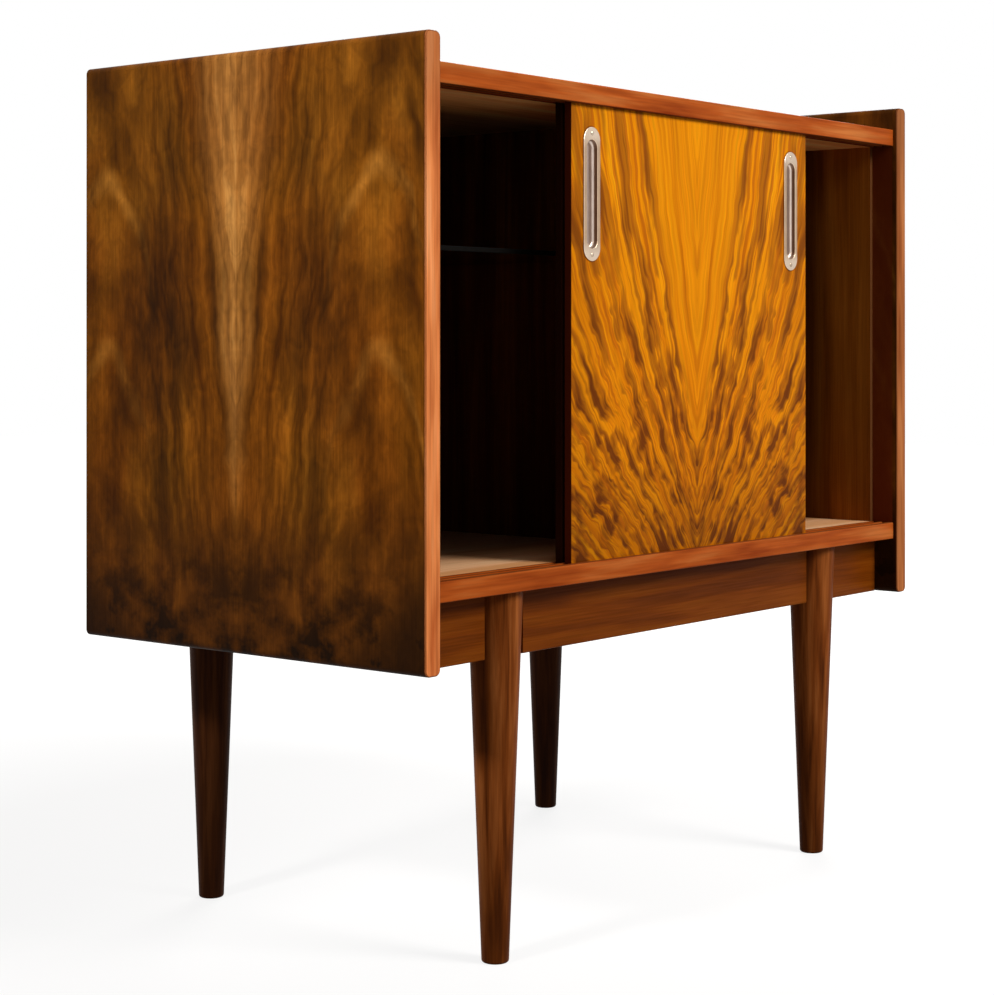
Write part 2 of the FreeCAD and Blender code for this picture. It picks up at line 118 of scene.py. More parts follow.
def walnut_figure(tree, across, height, seam, sill, seed):
    """Crown-cut walnut in two mirrored leaves: nested arches near the outer edges, a golden tongue along
    the seam, and dark clouds near the foot. Gives its colour and the height of its fine fibre."""
    swayed, plain = book_leaf(tree, across, height, seam, sill, sway=0.024, seed=seed)
    leaf = add(tree, "SeparateXYZ", {0: plain})

    # Grain: steep lines about 11 mm apart that lean towards the seam as they fall, with small arches
    # 185 mm from it.
    # The curve gives how much higher a line stands at each distance from the seam
    leaf_width = 0.25
    lean = add(tree, "FloatCurve", {
        "Value": add(tree, "Math", {0: swayed.outputs["X"], 1: leaf_width}, operation="DIVIDE")})
    line = lean.mapping.curves[0].points
    line[0].location = (0.0, 0.90)
    line[1].location = (1.0, 0.20)
    for distance, rise in (
            (0.06, 0.50), (0.10, 0.20), (0.12, 0.085), (0.15, 0.03), (0.185, 0.0), (0.22, 0.05)):
        line.new(distance / leaf_width, rise)
    lean.mapping.update()
    ring = add(tree, "Math", {0: lean, 1: swayed.outputs["Y"]}, operation="ADD")
    ring_place = add(tree, "CombineXYZ", {"X": ring, "Y": swayed.outputs["X"], "Z": swayed.outputs["Y"]})
    band = grain(tree, ring_place, (13.0, 26.0, 6.0), (0.0, 0.0, seed), Detail=5.0, Roughness=0.5)
    brown = add(tree, "ValToRGB", {"Fac": band}, stops=(
        (0.28, "#3e1e02"), (0.74, "#824c12"), (0.43, "#542d05"), (0.57, "#6a3b0a")))

    # Two paler arches, which fade towards the seam
    arches = None
    for crown, strength in ((0.445, 0.36), (0.28, 0.3)):
        off = add(tree, "Math", {
            0: add(tree, "Math", {0: ring, 1: crown}, operation="SUBTRACT")}, operation="ABSOLUTE")
        stroke = add(tree, "MapRange", {
            "Value": off, "From Min": 0.02, "From Max": 0.0, "To Max": strength},
            interpolation_type="SMOOTHSTEP")
        arches = stroke if arches is None else add(
            tree, "Math", {0: arches, 1: stroke}, operation="MAXIMUM")
    outward = add(tree, "MapRange", {
        "Value": leaf.outputs["X"], "From Min": 0.085, "From Max": 0.17}, interpolation_type="SMOOTHSTEP")
    streaked = add(tree, "MapRange", {
        "Value": band, "From Min": 0.38, "From Max": 0.6, "To Min": 0.15})
    arch_share = add(tree, "Math", {
        0: add(tree, "Math", {0: arches, 1: outward}, operation="MULTIPLY"), 1: streaked},
        operation="MULTIPLY")

    # Patches: soft paler and darker areas about 40 mm across and 125 mm tall, redder in some places and
    # more olive in others. The rear leaf is darker, as a turned leaf throws the light another way, and
    # both are darker towards the head
    patchy = grain(tree, plain, (27.2, 8.0, 16.0), Detail=4.0, Roughness=0.58)
    tone = add(tree, "MapRange", {
        "Value": patchy, "From Min": 0.32, "From Max": 0.68, "To Min": 0.66, "To Max": 1.34})
    rear_leaf = add(tree, "Math", {0: across, 1: seam}, operation="GREATER_THAN")
    leaf_tone = add(tree, "MapRange", {"Value": rear_leaf, "To Min": 1.07, "To Max": 0.92})
    drift = grain(tree, plain, (9.0, 5.0, 1.0), Detail=2.0)
    hue = add(tree, "ValToRGB", {"Fac": drift}, stops=((0.38, "#fff2e2"), (0.62, "#f5f8e5")))
    hued = add(tree, "VectorMath", {0: brown, 1: hue}, operation="MULTIPLY")
    by_height = add(tree, "MapRange", {
        "Value": leaf.outputs["Y"], "From Min": 0.24, "From Max": 0.48, "To Min": 1.12, "To Max": 0.86})
    leaf_shade = add(tree, "Math", {0: leaf_tone, 1: by_height}, operation="MULTIPLY")
    toned = add(tree, "VectorMath", {
        0: hued, "Scale": add(tree, "Math", {0: tone, 1: leaf_shade}, operation="MULTIPLY")},
        operation="SCALE")

    # Shimmer: soft mottles about 15 mm across, where the fibre dips and rises
    dips = grain(tree, plain, (70.0, 48.0, 1.0), Detail=2.0, Distortion=1.2)
    shimmer = add(tree, "MapRange", {
        "Value": dips, "From Min": 0.34, "From Max": 0.66, "To Min": 0.86, "To Max": 1.15})
    arched = add(tree, "Mix", {"Factor": arch_share, "A": toned, "B": to_linear("#b0742c")},
                 data_type="RGBA")

    # The tongue: golden wood some 50 mm to each side of the seam at the head, which narrows to a point
    # low down, with a dark swathe along it
    tongue_edge = add(tree, "MapRange", {
        "Value": swayed.outputs["Y"], "From Min": 0.1, "From Max": 0.56, "To Min": 0.003, "To Max": 0.05})
    inside = add(tree, "Math", {0: swayed.outputs["X"], 1: tongue_edge}, operation="DIVIDE")
    tongue = add(tree, "MapRange", {
        "Value": inside, "From Min": 1.45, "From Max": 0.0,
        "To Max": add(tree, "MapRange", {"Value": rear_leaf, "To Min": 0.55, "To Max": 0.85})},
        interpolation_type="SMOOTHSTEP")
    above_point = add(tree, "MapRange", {
        "Value": leaf.outputs["Y"], "From Min": 0.1, "From Max": 0.24}, interpolation_type="SMOOTHSTEP")
    gold = add(tree, "ValToRGB", {"Fac": band}, stops=(
        (0.3, "#6c431d"), (0.7, "#ac793d"), (0.5, "#93602a")))
    golden = add(tree, "Mix", {
        "Factor": add(tree, "Math", {0: tongue, 1: above_point}, operation="MULTIPLY"),
        "A": arched, "B": gold}, data_type="RGBA")
    swathe_at = 1.25
    beside = add(tree, "MapRange", {
        "Value": add(tree, "Math", {
            0: add(tree, "Math", {0: inside, 1: swathe_at}, operation="SUBTRACT")},
            operation="ABSOLUTE"),
        "From Min": 0.6, "From Max": 0.0, "To Max": 0.3}, interpolation_type="SMOOTHSTEP")
    beside_tongue = add(tree, "Math", {0: beside, 1: above_point}, operation="MULTIPLY")

    # Clouds: a tall dark patch in the middle of each leaf, dark mottling 45 mm across along the foot
    # with redder wood between, and dark lower corners
    cloud = add(tree, "TexNoise", {
        "Vector": plain, "Scale": 22.0, "Detail": 4.0, "Roughness": 0.6})
    blotch = add(tree, "MapRange", {
        "Value": cloud, "From Min": 0.62, "From Max": 0.4, "To Min": 0.2, "To Max": 1.0})
    foot = add(tree, "MapRange", {
        "Value": leaf.outputs["Y"], "From Min": 0.2, "From Max": 0.0}, interpolation_type="SMOOTHSTEP")
    patch_middle = (0.1, 0.28, seed)
    patch_squeeze = (1.0, 0.32, 1.0)
    from_patch = add(tree, "VectorMath", {
        0: add(tree, "VectorMath", {0: plain, 1: patch_middle}, operation="SUBTRACT"),
        1: patch_squeeze}, operation="MULTIPLY")
    patch = add(tree, "MapRange", {
        "Value": add(tree, "VectorMath", {0: from_patch}, operation="LENGTH").outputs["Value"],
        "From Min": 0.085, "From Max": 0.01,
        "To Max": add(tree, "MapRange", {"Value": rear_leaf, "To Min": 0.62, "To Max": 0.82})},
        interpolation_type="SMOOTHSTEP")
    uneven = add(tree, "MapRange", {
        "Value": patchy, "From Min": 0.66, "From Max": 0.4, "To Min": 0.35, "To Max": 1.0})
    mottled = add(tree, "Math", {
        0: add(tree, "Math", {0: foot, 1: blotch}, operation="MULTIPLY"),
        1: add(tree, "Math", {0: patch, 1: uneven}, operation="MULTIPLY")},
        operation="MAXIMUM")
    outer_corner = add(tree, "MapRange", {
        "Value": add(tree, "Math", {0: leaf.outputs["Y"], 1: leaf.outputs["X"]},
                     operation="SUBTRACT"),
        "From Min": -0.06, "From Max": -0.19, "To Max": 0.85}, interpolation_type="SMOOTHSTEP")
    cornered = add(tree, "Math", {0: mottled, 1: outer_corner}, operation="MAXIMUM")
    shaded = add(tree, "Math", {0: cornered, 1: beside_tongue}, operation="MAXIMUM")
    reddening = 0.7
    flecked = add(tree, "Mix", {
        "Factor": add(tree, "Math", {0: foot, 1: reddening}, operation="MULTIPLY"),
        "A": golden, "B": to_linear("#5f330f")}, data_type="RGBA")
    clouded = add(tree, "Mix", {"Factor": shaded, "A": flecked, "B": to_linear("#190b02")},
                  data_type="RGBA")

    # Fibre lines 2 mm apart, drawn three times as coarse as they are so that they show
    fibre = grain(tree, plain, (480.0, 18.0, 1.0), Detail=3.0, Roughness=0.6)
    shade = add(tree, "MapRange", {
        "Value": fibre, "From Min": 0.32, "From Max": 0.68, "To Min": 0.82, "To Max": 1.13})
    play = add(tree, "Math", {0: shade, 1: shimmer}, operation="MULTIPLY")
    return add(tree, "VectorMath", {0: clouded, "Scale": play}, operation="SCALE"), fibre


def satin_lacquer(tree, colour, relief):
    """Ends a wood's tree: a thin satin lacquer, so worn that it mirrors little, whose gloss and relief
    follow the fibre."""
    gloss = add(tree, "MapRange", {
        "Value": relief, "From Min": 0.3, "From Max": 0.7, "To Min": 0.5, "To Max": 0.38})
    bump = add(tree, "Bump", {"Height": relief, "Strength": 0.12, "Distance": 0.0004})
    surface = add(tree, "BsdfPrincipled", {
        "Base Color": colour, "Roughness": gloss, "Normal": bump, "IOR": 1.2, "Specular IOR Level": 0.12})
    add(tree, "OutputMaterial", {"Surface": surface})


panel_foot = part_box("side_panel_left")[0].z
inner_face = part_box("side_panel_right")[0].x
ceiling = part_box("top_board")[0].z
bay_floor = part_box("bottom_board")[1].z
bay_middle, half_bay = (ceiling + bay_floor) / 2, (ceiling - bay_floor) / 2
SEAM_BEHIND_MIDDLE = 0.011
FACE_DEPTH = 0.0003
BAY_STAIN = 0.65
leaf_seeds = {"left": 3.0, "right": 7.0}
for side, seed in leaf_seeds.items():
    walnut, tree, place = new_finish(f"walnut_veneer_{side}")
    axes = add(tree, "SeparateXYZ", {0: place})
    figure, fibre = walnut_figure(
        tree, axes.outputs["Y"], axes.outputs["Z"], SEAM_BEHIND_MIDDLE, panel_foot, seed)

    # The inner face is stained red-brown where it is the wall of a bay
    from_centre = add(tree, "Math", {0: axes.outputs["X"]}, operation="ABSOLUTE")
    inside = add(tree, "Math", {0: from_centre, 1: inner_face + FACE_DEPTH}, operation="LESS_THAN")
    in_bay = add(tree, "Math", {0: axes.outputs["Z"], 1: bay_middle, 2: half_bay}, operation="COMPARE")
    bay_wall = add(tree, "Math", {0: inside, 1: in_bay}, operation="MULTIPLY")
    stain = add(tree, "Math", {0: bay_wall, 1: BAY_STAIN}, operation="MULTIPLY")
    stain_and_painted_shade = add(tree, "Mix", {"Factor": stain, "A": figure, "B": to_linear("#7a2e12")}, data_type="RGBA")
    satin_lacquer(tree, stain_and_painted_shade, fibre)
    dress(walnut, f"side_panel_{side}")

# Lippings. Solid strips of a straight-grained red hardwood, glued to the front edges of the panels and
# boards before veneering, so that the walnut of the panels runs over their sides up to the corner. The
# boards' strips are deeper and hold the two door grooves.


def red_hardwood(tree, place, along, colours, seed):
    """Red hardwood, planed: warm, with soft bands 14 mm apart and straight lines 2.4 mm apart along the
    strip, the lines drawn coarser than they are so that they show. Gives its colour and the height of
    its lines."""
    line_stretch = [9.0 if axis == along else 420.0 for axis in "XYZ"]
    line = grain(tree, place, line_stretch, (seed, 0.0, 0.0), Detail=3.0)
    band_stretch = [7.0 if axis == along else 70.0 for axis in "XYZ"]
    band = grain(tree, place, band_stretch, (0.0, seed, 0.0), Detail=3.0)
    red = add(tree, "ValToRGB", {"Fac": band}, stops=(
        (0.28, colours[0]), (0.72, colours[2]), (0.5, colours[1])))
    shade = add(tree, "MapRange", {
        "Value": line, "From Min": 0.3, "From Max": 0.7, "To Min": 0.82, "To Max": 1.12})
    return add(tree, "VectorMath", {0: red, "Scale": shade}, operation="SCALE"), line


VENEER_STARTS = 0.0012
JOINT_WIDTH = 0.0012
JOINT_STAIN = 0.6
panel_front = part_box("side_lipping_left")[0].y
# The left strip's reds are painted lighter and the right strip's darker: painted light that falls off from
# left to right.
lit_and_shaded_lipping_reds = {"left": ("#b65928", "#e6874a", "#f6a268"), "right": ("#86441a", "#ac6434", "#c47c48")}
for side, seed in leaf_seeds.items():
    lipping, tree, place = new_finish(f"veneered_lipping_{side}")
    axes = add(tree, "SeparateXYZ", {0: place})
    depth, height = axes.outputs["Y"], axes.outputs["Z"]
    figure = walnut_figure(tree, depth, height, SEAM_BEHIND_MIDDLE, panel_foot, seed)[0]
    red, line = red_hardwood(tree, place, "Z", lit_and_shaded_lipping_reds[side], seed)
    dull_head = add(tree, "MapRange", {
        "Value": height, "From Min": 0.72, "From Max": 0.8, "To Min": 1.0, "To Max": 0.67})
    darkened = add(tree, "VectorMath", {0: red, "Scale": dull_head}, operation="SCALE")
    veneer_edge = panel_front + VENEER_STARTS
    bare = add(tree, "Math", {0: depth, 1: veneer_edge}, operation="LESS_THAN")
    joint = add(tree, "Math", {0: depth, 1: veneer_edge, 2: JOINT_WIDTH}, operation="COMPARE")
    both = add(tree, "Mix", {"Factor": bare, "A": figure, "B": darkened}, data_type="RGBA")
    jointed = add(tree, "Mix", {
        "Factor": add(tree, "Math", {0: joint, 1: JOINT_STAIN}, operation="MULTIPLY"),
        "A": both, "B": to_linear("#3a1402")}, data_type="RGBA")
    satin_lacquer(tree, jointed, line)
    dress(lipping, f"side_lipping_{side}")

# The boards' strips are painted dark on the face towards the bays: painted shade, the shadow of the grooves
PAINTED_SHADE_DEPTH = 0.0006
STRIP_PAINTED_SHADE = 0.55
strip, tree, place = new_finish("planed_red_hardwood")
axes = add(tree, "SeparateXYZ", {0: place})
red, line = red_hardwood(tree, place, "X", ("#822f06", "#ac501a", "#c06e34"), seed=5.0)
towards_bay = add(tree, "Math", {
    0: axes.outputs["Z"], 1: bay_middle, 2: half_bay + PAINTED_SHADE_DEPTH}, operation="COMPARE")
stain_and_painted_shade = add(tree, "Mix", {
    "Factor": add(tree, "Math", {0: towards_bay, 1: STRIP_PAINTED_SHADE}, operation="MULTIPLY"),
    "A": red, "B": to_linear("#3f1a06")}, data_type="RGBA")
satin_lacquer(tree, stain_and_painted_shade, line)
dress(strip, "top_lipping", "bottom_lipping")

# Top and bottom boards. Veneered boards dowelled between the side panels, a little below their upper
# ends and above their lower ends: figured walnut outside, and towards the bays a pale plain lining that
# is painted darker deeper in, as painted shade.


def straight_grain(tree, place, stretch, colours, seed):
    """Plain sliced wood: long soft streaks between three colours, with fine fibre over them. stretch is
    streaks per metre along each axis. Gives its colour and the height of its fibre."""
    streak = grain(tree, place, stretch, (seed, seed, seed), Detail=4.0, Distortion=0.5)
    tint = add(tree, "ValToRGB", {"Fac": streak}, stops=(
        (0.30, colours[0]), (0.70, colours[2]), (0.5, colours[1])))
    # The fibre runs the way the streaks do, in lines 1.6 mm apart, drawn coarser than they are so that
    # they show
    fine = [14.0 if count < 10.0 else 620.0 for count in stretch]
    fibre = grain(tree, place, fine, Detail=2.0)
    shade = add(tree, "MapRange", {
        "Value": fibre, "From Min": 0.3, "From Max": 0.7, "To Min": 0.82, "To Max": 1.12})
    return add(tree, "VectorMath", {0: tint, "Scale": shade}, operation="SCALE"), fibre


BOARD_SEAM = 0.012
BOARD_SEED = 11.0
LINING_DEPTH = 0.002
board_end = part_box("top_board")[0].x
for board, lining, darkest in (
        ("top_board", ("#e48c48", "#ffae66", "#ffc67e"), 0.2),
        ("bottom_board", ("#e6a268", "#f8ba86", "#ffce9c"), 0.28)):
    veneer, tree, place = new_finish(f"{board}_veneer")
    axes = add(tree, "SeparateXYZ", {0: place})
    figure = walnut_figure(
        tree, axes.outputs["Y"], axes.outputs["X"], BOARD_SEAM, board_end, BOARD_SEED)[0]
    plain, fibre = straight_grain(tree, place, (3.2, 42.0, 42.0), lining, seed=9.0)
    # Painted shade: the lining darkens from the front of the bay towards its back.
    inward = add(tree, "MapRange", {
        "Value": axes.outputs["Y"], "From Min": -0.165, "From Max": -0.03, "To Min": 1.0, "To Max": darkest},
        interpolation_type="SMOOTHSTEP")
    with_painted_shade = add(tree, "VectorMath", {0: plain, "Scale": inward}, operation="SCALE")
    towards_bay = add(tree, "Math", {
        0: axes.outputs["Z"], 1: bay_middle, 2: half_bay + LINING_DEPTH}, operation="COMPARE")
    both = add(tree, "Mix", {"Factor": towards_bay, "A": figure, "B": with_painted_shade}, data_type="RGBA")
    satin_lacquer(tree, both, fibre)
    dress(veneer, board)

# Dowels, bolts and inserts. The beech dowels of the boards and rails, and the steel bolts that the legs
# screw onto, with the sleeves that hold them; all of them end inside the wood.


def beech(name):
    """Plain beech, turned or sawn and left bare: pale pink-brown with dark ray flecks 1 mm wide and
    6 mm long."""
    wood, tree, place = new_finish(name)
    fleck = grain(tree, place, (160.0, 900.0, 900.0), Detail=2.0)
    pale = add(tree, "ValToRGB", {"Fac": fleck}, stops=(
        (0.30, "#a97b52"), (0.62, "#d8b388"), (0.42, "#c99f74")))
    relief = add(tree, "Bump", {"Height": fleck, "Strength": 0.2, "Distance": 0.0003})
    surface = add(tree, "BsdfPrincipled", {
        "Base Color": pale, "Roughness": 0.65, "Normal": relief})
    add(tree, "OutputMaterial", {"Surface": surface})
    return wood


def worked_metal(name, colours, roughness):
    """Drawn or pressed metal: one colour with faint drawing marks 1 mm apart and tarnish in spots of
    9 mm."""
    metal, tree, place = new_finish(name)
    mark = grain(tree, place, (900.0, 900.0, 60.0), Detail=2.0)
    tarnish = add(tree, "TexNoise", {"Vector": place, "Scale": 110.0, "Detail": 3.0})
    tint = add(tree, "ValToRGB", {"Fac": tarnish}, stops=((0.35, colours[0]), (0.65, colours[1])))
    gloss = add(tree, "MapRange", {
        "Value": mark, "From Min": 0.3, "From Max": 0.7, "To Min": roughness - 0.06,
        "To Max": roughness + 0.08})
    relief = add(tree, "Bump", {"Height": mark, "Strength": 0.06, "Distance": 0.0002})
    surface = add(tree, "BsdfPrincipled", {
        "Base Color": tint, "Metallic": 1.0, "Roughness": gloss, "Normal": relief})
    add(tree, "OutputMaterial", {"Surface": surface})
    return metal


bare_beech = beech("bare_beech")
plain_steel = worked_metal("plain_steel", ("#8d8a85", "#b3b0aa"), roughness=0.38)
dress(bare_beech, "carcass_dowels", "rail_dowels")
dress(plain_steel, "leg_bolts", "leg_inserts")

# Back panel. A sheet of thin gaboon plywood that lies in a rebate of the panels and boards, held by
# small nails into their edges. Stained brown under a thin coat, with streaks some 40 mm wide.
plywood, tree, place = new_finish("gaboon_plywood")
tan, fibre = straight_grain(tree, place, (26.0, 1.0, 1.6), ("#5a3212", "#75461f", "#8f5d30"), seed=2.0)
satin_lacquer(tree, tan, fibre)
dress(plywood, "back_panel")

# Back nails. Small round-headed steel nails through the edges of the back: a row into each board, and a
# column into each side panel and the partition.


def pin_grid():
    """A Geometry Nodes tree that adds a grid of round-headed pins to what comes in. The heads stand on
    the grid's plane, which is then turned and placed."""
    tree = bpy.data.node_groups.new("pin_grid", "GeometryNodeTree")
    for name, kind in (("Geometry", "Geometry"), ("Columns", "Int"), ("Column Spacing", "Float"),
                       ("Rows", "Int"), ("Row Spacing", "Float"), ("Head Diameter", "Float"),
                       ("Head Height", "Float"), ("Shank Diameter", "Float"), ("Shank Length", "Float"),
                       ("Turn", "Vector"), ("Centre", "Vector"), ("Seed", "Int"), ("Finish", "Material")):
        tree.interface.new_socket(name, in_out="INPUT", socket_type=f"NodeSocket{kind}")
    tree.interface.new_socket("Geometry", in_out="OUTPUT", socket_type="NodeSocketGeometry")
    sizes = tree.nodes.new("NodeGroupInput").outputs
    column_gaps = add(tree, "Math", {0: sizes["Columns"], 1: 1.0}, operation="SUBTRACT")
    row_gaps = add(tree, "Math", {0: sizes["Rows"], 1: 1.0}, operation="SUBTRACT")
    places = add(tree, "GeometryNodeMeshGrid", {
        "Size X": add(tree, "Math", {0: column_gaps, 1: sizes["Column Spacing"]},
                      operation="MULTIPLY"),
        "Size Y": add(tree, "Math", {0: row_gaps, 1: sizes["Row Spacing"]},
                      operation="MULTIPLY"),
        "Vertices X": sizes["Columns"], "Vertices Y": sizes["Rows"]})

    # The head: a short cylinder drawn in to a dome, with a small flat left on its top
    blank = add(tree, "GeometryNodeMeshCylinder", {
        "Vertices": 24, "Side Segments": 7, "Depth": sizes["Head Height"],
        "Radius": add(tree, "Math", {0: sizes["Head Diameter"], 1: 0.5}, operation="MULTIPLY")})
    spot = add(tree, "SeparateXYZ", {0: add(tree, "GeometryNodeInputPosition")})
    share = add(tree, "Math", {0: spot.outputs["Z"], 1: sizes["Head Height"]}, operation="DIVIDE")
    up = add(tree, "Math", {0: share, 1: 0.5}, operation="ADD")
    near_top = add(tree, "Math", {0: up, 1: 0.98}, operation="MULTIPLY")
    squared = add(tree, "Math", {0: near_top, 1: 2.0}, operation="POWER")
    draw_in = add(tree, "Math", {
        0: add(tree, "Math", {0: 1.0, 1: squared}, operation="SUBTRACT")}, operation="SQRT")
    domed = add(tree, "CombineXYZ", {
        "X": add(tree, "Math", {0: spot.outputs["X"], 1: draw_in}, operation="MULTIPLY"),
        "Y": add(tree, "Math", {0: spot.outputs["Y"], 1: draw_in}, operation="MULTIPLY"),
        "Z": add(tree, "Math", {0: up, 1: sizes["Head Height"]}, operation="MULTIPLY")})
    head = add(tree, "GeometryNodeSetPosition", {"Geometry": blank, "Position": domed})

    # The shank below it
    half_down = add(tree, "Math", {0: sizes["Shank Length"], 1: -0.5}, operation="MULTIPLY")
    shank = add(tree, "GeometryNodeTransform", {
        "Geometry": add(tree, "GeometryNodeMeshCylinder", {
            "Vertices": 16, "Depth": sizes["Shank Length"],
            "Radius": add(tree, "Math", {0: sizes["Shank Diameter"], 1: 0.5},
                          operation="MULTIPLY")}),
        "Translation": add(tree, "CombineXYZ", {"Z": half_down})})
    pin = add(tree, "GeometryNodeJoinGeometry", {"Geometry": head})
    tree.links.new(shank.outputs["Geometry"], pin.inputs["Geometry"])

    # One pin on each place, each turned by chance and up to 5 % smaller
    turn = add(tree, "FunctionNodeRandomValue", {
        "Min": (0.0, 0.0, 0.0), "Max": (0.0, 0.0, 6.283), "Seed": sizes["Seed"]}, data_type="FLOAT_VECTOR")
    scale = add(tree, "FunctionNodeRandomValue", {"Min": 0.95, "Max": 1.0, "Seed": sizes["Seed"]})
    pins = add(tree, "GeometryNodeInstanceOnPoints", {
        "Points": places, "Instance": pin, "Rotation": turn, "Scale": scale})
    placed = add(tree, "GeometryNodeTransform", {
        "Geometry": pins, "Translation": sizes["Centre"], "Rotation": sizes["Turn"]})
    together = add(tree, "GeometryNodeJoinGeometry", {"Geometry": placed})
    tree.links.new(sizes["Geometry"], together.inputs["Geometry"])
    smooth = add(tree, "GeometryNodeSetShadeSmooth", {
        "Geometry": add(tree, "GeometryNodeRealizeInstances", {"Geometry": together})})
    finished = add(tree, "GeometryNodeSetMaterial", {"Geometry": smooth, "Material": sizes["Finish"]})
    add(tree, "NodeGroupOutput", {"Geometry": finished})
    return tree


def drive_pins(node, body, slot, *grids):
    """Makes the grids of pins as one plain mesh, in place of a CAD node."""
    pins = bpy.data.objects.new(f"{node}_visual", bpy.data.meshes.new(node))
    bpy.context.scene.collection.objects.link(pins)
    for sizes in grids:
        modifier = pins.modifiers.new("pin_grid", "NODES")
        modifier.node_group = round_pins
        for socket in round_pins.interface.items_tree:
            if socket.in_out == "INPUT" and socket.name in sizes:
                modifier[socket.identifier] = sizes[socket.name]
    depsgraph = bpy.context.evaluated_depsgraph_get()
    solid = bpy.data.meshes.new_from_object(pins.evaluated_get(depsgraph), depsgraph=depsgraph)
    pins.modifiers.clear()
    pins.data = solid
    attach(pins, body)
    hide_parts(node)


round_pins = pin_grid()
back_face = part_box("back_panel")[1].y
nail_low, nail_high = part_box("back_nails")
NAIL_HEAD = 0.004
NAIL_SPACING = 0.12
nail = {"Head Diameter": NAIL_HEAD, "Head Height": 0.0008, "Shank Diameter": 0.0016,
        "Shank Length": 0.02, "Turn": (-math.pi / 2, 0.0, 0.0),
        "Centre": (0.0, back_face, (nail_low.z + nail_high.z) / 2), "Finish": plain_steel}
drive_pins("back_nails", "cabinet", "plain_steel",
           dict(nail, Columns=7, Rows=2, Seed=1, **{
               "Column Spacing": NAIL_SPACING, "Row Spacing": nail_high.z - nail_low.z - NAIL_HEAD}),
           dict(nail, Columns=3, Rows=3, Seed=2, **{
               "Column Spacing": nail_high.x - NAIL_HEAD / 2, "Row Spacing": NAIL_SPACING}))

# Partition and cheeks. Thin boards in the bays: the partition parts the two bays and carries the shelf,
# the cheeks line the side panels behind the doors. Brown veneer, darker towards the floor and, on the
# cheeks, painted darker deeper in as painted shade, with plain front edges.
EDGE_DEPTH = 0.0004
cheek_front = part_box("cheek_right")[0].y
for name, browns, darkest, nodes in (
        ("cheek_lining", ("#86440e", "#a85c16", "#be7024"), 0.36, ("cheek_left", "cheek_right")),
        ("partition_veneer", ("#3d1c06", "#53290a", "#683a12"), 1.0, ("partition",))):
    lining, tree, place = new_finish(name)
    axes = add(tree, "SeparateXYZ", {0: place})
    brown, fibre = straight_grain(tree, place, (60.0, 48.0, 2.4), browns, seed=6.0)
    # Painted shade on the cheeks: the veneer darkens deeper into the bay; the partition's does not.
    inward = add(tree, "MapRange", {
        "Value": axes.outputs["Y"], "From Min": -0.152, "From Max": -0.105, "To Min": 1.0, "To Max": darkest},
        interpolation_type="SMOOTHSTEP")
    upward = add(tree, "MapRange", {
        "Value": axes.outputs["Z"], "From Min": bay_floor, "From Max": bay_floor + 0.25, "To Min": 0.58})
    with_painted_shade = add(tree, "VectorMath", {
        0: brown, "Scale": add(tree, "Math", {0: inward, 1: upward}, operation="MULTIPLY")},
        operation="SCALE")
    front_edge = add(tree, "Math", {0: axes.outputs["Y"], 1: cheek_front + EDGE_DEPTH},
                     operation="LESS_THAN")
    edged = add(tree, "Mix", {"Factor": front_edge, "A": with_painted_shade, "B": to_linear("#6e4222")},
                data_type="RGBA")
    satin_lacquer(tree, edged, fibre)
    dress(lining, *nodes)

# Glass shelf and its pins. A loose sheet of 5 mm glass that lies on four turned brass pins with collars.
# Its faces are clear and its edges are ground with an arris, which leaves them dull; their near-black
# colour is painted shade.
clear_glass, tree, place = new_finish("clear_glass")
smear = add(tree, "TexNoise", {"Vector": place, "Scale": 30.0, "Detail": 3.0})
haze = add(tree, "MapRange", {
    "Value": smear, "From Min": 0.4, "From Max": 0.7, "To Min": 0.02, "To Max": 0.07})
surface = add(tree, "BsdfPrincipled", {
    "Base Color": to_linear("#e3efe8"), "IOR": 1.52, "Transmission Weight": 1.0, "Roughness": haze})
add(tree, "OutputMaterial", {"Surface": surface})
ground_glass, tree, place = new_finish("ground_glass_edge")
grit = grain(tree, place, (180.0, 180.0, 900.0), Detail=3.0)
# Painted shade: the ground edge is coloured nearly black.
painted_dark_edge = add(tree, "ValToRGB", {"Fac": grit}, stops=((0.35, "#060504"), (0.65, "#0e0c0a")))
relief = add(tree, "Bump", {"Height": grit, "Strength": 0.2, "Distance": 0.0002})
surface = add(tree, "BsdfPrincipled", {
    "Base Color": painted_dark_edge, "Roughness": 0.55, "Specular IOR Level": 0.03, "Normal": relief})
add(tree, "OutputMaterial", {"Surface": surface})

ARRIS = 0.0008
LEVEL = 0.99
shelf_low, shelf_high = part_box("glass_shelf")
sheet = bmesh.new()
bmesh.ops.create_cube(sheet, size=1.0)
bmesh.ops.scale(sheet, verts=sheet.verts, vec=shelf_high - shelf_low)
bmesh.ops.translate(sheet, verts=sheet.verts, vec=(shelf_low + shelf_high) / 2)
bmesh.ops.bevel(sheet, geom=sheet.edges[:], offset=ARRIS, segments=2, profile=0.5, affect="EDGES")
for face in sheet.faces:
    face.material_index = 0 if abs(face.normal.z) > LEVEL else 1
sheet_mesh = bpy.data.meshes.new("glass_sheet")
sheet.to_mesh(sheet_mesh)
sheet.free()
sheet_mesh.materials.append(clear_glass)
sheet_mesh.materials.append(ground_glass)
glass_sheet = bpy.data.objects.new("glass_sheet", sheet_mesh)
bpy.context.scene.collection.objects.link(glass_sheet)
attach(glass_sheet, "cabinet")
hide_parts("glass_shelf")

turned_brass = worked_metal("turned_brass", ("#a5803a", "#c9a55c"), roughness=0.3)
dress(turned_brass, "shelf_pins")

